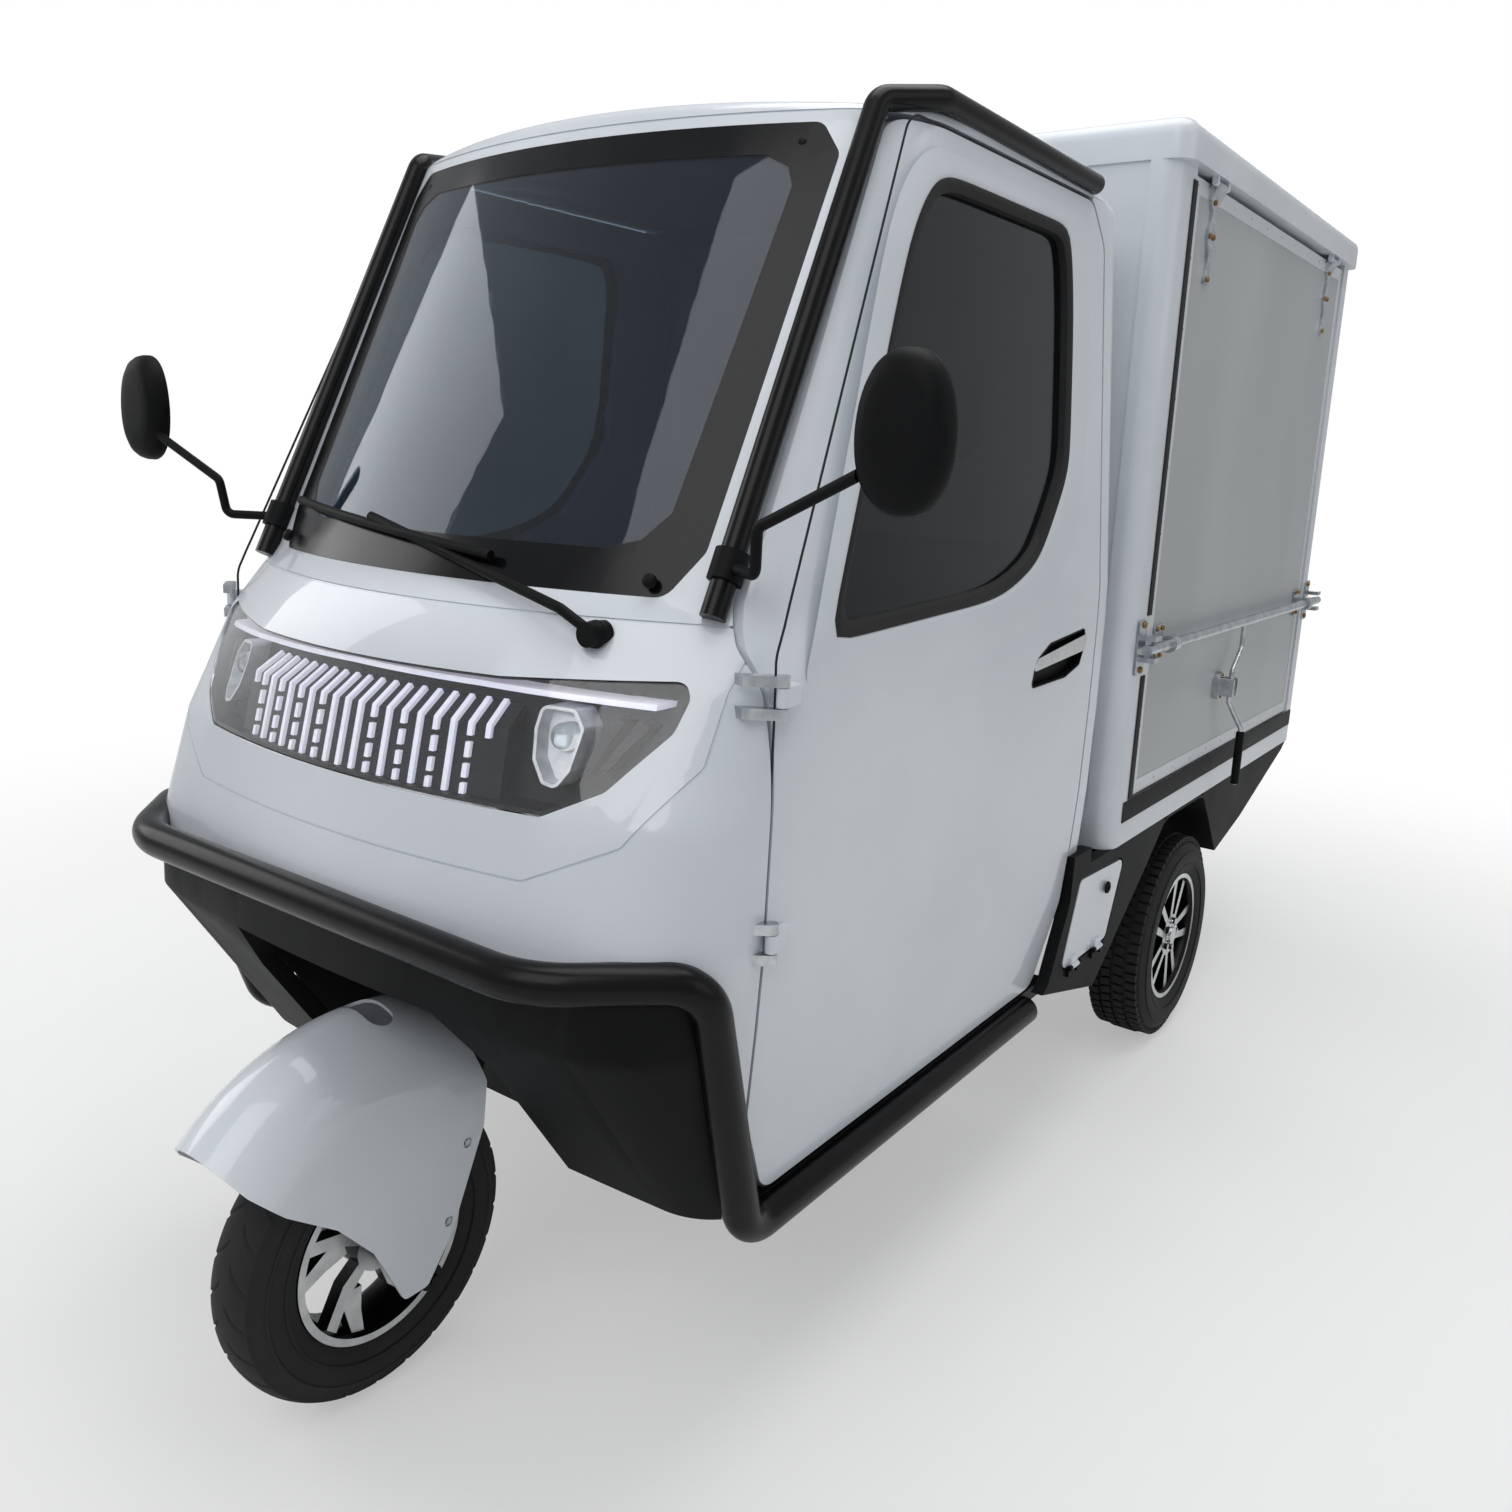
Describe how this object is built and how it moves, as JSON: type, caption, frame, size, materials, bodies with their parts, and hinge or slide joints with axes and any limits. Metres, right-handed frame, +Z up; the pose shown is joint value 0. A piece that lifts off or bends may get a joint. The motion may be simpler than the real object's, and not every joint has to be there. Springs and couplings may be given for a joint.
{
  "type": "electric cargo tricycle",
  "caption": "Enclosed electric cargo tricycle: white cab with black trim over one front wheel, and a square white box whose sides lift, over two rear wheels.",
  "frame": {"origin": "on the ground, at the middle of the length and width", "axes": "+Z up, the front faces -Y, the vehicle's left side is at +X"},
  "size_m": [1.6054, 3.1563, 2.031],
  "materials": {
    "white_paint": "gloss",
    "black_frame": "satin",
    "black_plastic": "matte",
    "dark_skirt": "satin",
    "lamp_tray": "satin",
    "clear_lens": "clear gloss",
    "light_guide": "frosted",
    "tinted_glass": "gloss",
    "chrome": "polished",
    "alloy": "machined and painted",
    "tyre_rubber": "matte",
    "body_panel": "gloss",
    "zinc_steel": "satin",
    "seat_vinyl": "matte",
    "cast_motor": "matte",
    "battery_case": "matte",
    "red_lens": "gloss",
    "dash_plastic": "matte",
    "sheet_floor": "satin"
  },
  "bodies": {
    "body": {"battery_box": "battery_case", "bumper_tube": "black_frame", "cab_floor": "black_frame", "cab_glass": "tinted_glass", "cab_rear_wall": "white_paint", "cab_roof": "white_paint", "cargo_floor": "sheet_floor", "cargo_frame": "white_paint", "cargo_front_wall": "body_panel", "cargo_roof": "body_panel", "cargo_skirts": "dark_skirt", "chassis_frame": "black_frame", "dashboard": "dash_plastic", "drive_motor": "cast_motor", "front_skirt": "black_plastic", "gutter_tubes": "black_frame", "leaf_springs": "black_frame", "light_panel": "lamp_tray", "lamp_lens": "clear_lens", "light_ribs": "light_guide", "headlamp_bowls": "chrome", "headlamp_lenses": "clear_lens", "lock_keepers": "zinc_steel", "door_hinges": "zinc_steel", "mirrors": "black_plastic", "nose_shell": "white_paint", "rear_axle": "black_frame", "seat_base": "black_plastic", "seat_pads": "seat_vinyl", "tail_lamps": "red_lens", "windscreen_frame": "white_paint", "wiper": "black_plastic"},
    "steering": {"front_fork": "black_frame", "front_fender": "white_paint", "handlebar": "black_frame"},
    "front_wheel": {"front_tyre": "tyre_rubber", "front_rim": "alloy"},
    "rear_wheel_left": {"rear_tyre_left": "tyre_rubber", "rear_rim_left": "alloy"},
    "rear_wheel_right": {"rear_tyre_right": "tyre_rubber", "rear_rim_right": "alloy"},
    "cab_door_left": {"door_left": "white_paint", "door_glass_left": "tinted_glass", "door_handle_left": "black_plastic"},
    "cab_door_right": {"door_right": "white_paint", "door_glass_right": "tinted_glass", "door_handle_right": "black_plastic"},
    "flap_left": {"cargo_flap_left": "body_panel", "lock_bar_left": "zinc_steel", "flap_fittings_left": "zinc_steel"},
    "flap_right": {"cargo_flap_right": "body_panel", "lock_bar_right": "zinc_steel", "flap_fittings_right": "zinc_steel"},
    "rear_leaf_left": {"rear_door_left": "body_panel", "rear_lock_rod_left": "zinc_steel"},
    "rear_leaf_right": {"rear_door_right": "body_panel", "rear_lock_rod_right": "zinc_steel"},
    "hatch_left": {"hatch_lid_left": "white_paint"},
    "hatch_right": {"hatch_lid_right": "white_paint"}
  },
  "joints": [
    {"name": "steering_turn", "type": "hinge", "parent": "body", "child": "steering", "pos_m": [0, -1.298, 0.229], "axis": [0, 0.309, 0.9511], "range_deg": [-35, 35]},
    {"name": "front_wheel_spin", "type": "hinge", "parent": "steering", "child": "front_wheel", "pos_m": [0, -1.318, 0.229], "axis": [1, 0, 0], "continuous": true},
    {"name": "rear_wheel_left_spin", "type": "hinge", "parent": "body", "child": "rear_wheel_left", "pos_m": [0.494, 0.663, 0.254], "axis": [1, 0, 0], "continuous": true},
    {"name": "cab_door_left_hinge", "type": "hinge", "parent": "body", "child": "cab_door_left", "pos_m": [0.579, -1.136, 0.95], "axis": [0, 0, -1], "range_deg": [0, 65]},
    {"name": "flap_left_hinge", "type": "hinge", "parent": "body", "child": "flap_left", "pos_m": [0.584, 0.8155, 1.942], "axis": [0, -1, 0], "range_deg": [0, 95]},
    {"name": "rear_leaf_left_hinge", "type": "hinge", "parent": "body", "child": "rear_leaf_left", "pos_m": [0.52, 1.57, 1.33], "axis": [0, 0, -1], "range_deg": [0, 180]},
    {"name": "hatch_left_hinge", "type": "hinge", "parent": "body", "child": "hatch_left", "pos_m": [0.578, -0.006, 0.419], "axis": [0, 1, 0], "range_deg": [0, 90]},
    {"name": "rear_wheel_right_spin", "type": "hinge", "parent": "body", "child": "rear_wheel_right", "pos_m": [-0.494, 0.663, 0.254], "axis": [1, 0, 0], "continuous": true},
    {"name": "cab_door_right_hinge", "type": "hinge", "parent": "body", "child": "cab_door_right", "pos_m": [-0.579, -1.136, 0.95], "axis": [0, 0, 1], "range_deg": [0, 65]},
    {"name": "flap_right_hinge", "type": "hinge", "parent": "body", "child": "flap_right", "pos_m": [-0.584, 0.8155, 1.942], "axis": [0, 1, 0], "range_deg": [0, 95]},
    {"name": "rear_leaf_right_hinge", "type": "hinge", "parent": "body", "child": "rear_leaf_right", "pos_m": [-0.52, 1.57, 1.33], "axis": [0, 0, 1], "range_deg": [0, 180]},
    {"name": "hatch_right_hinge", "type": "hinge", "parent": "body", "child": "hatch_right", "pos_m": [-0.578, -0.006, 0.419], "axis": [0, -1, 0], "range_deg": [0, 90]}
  ]
}
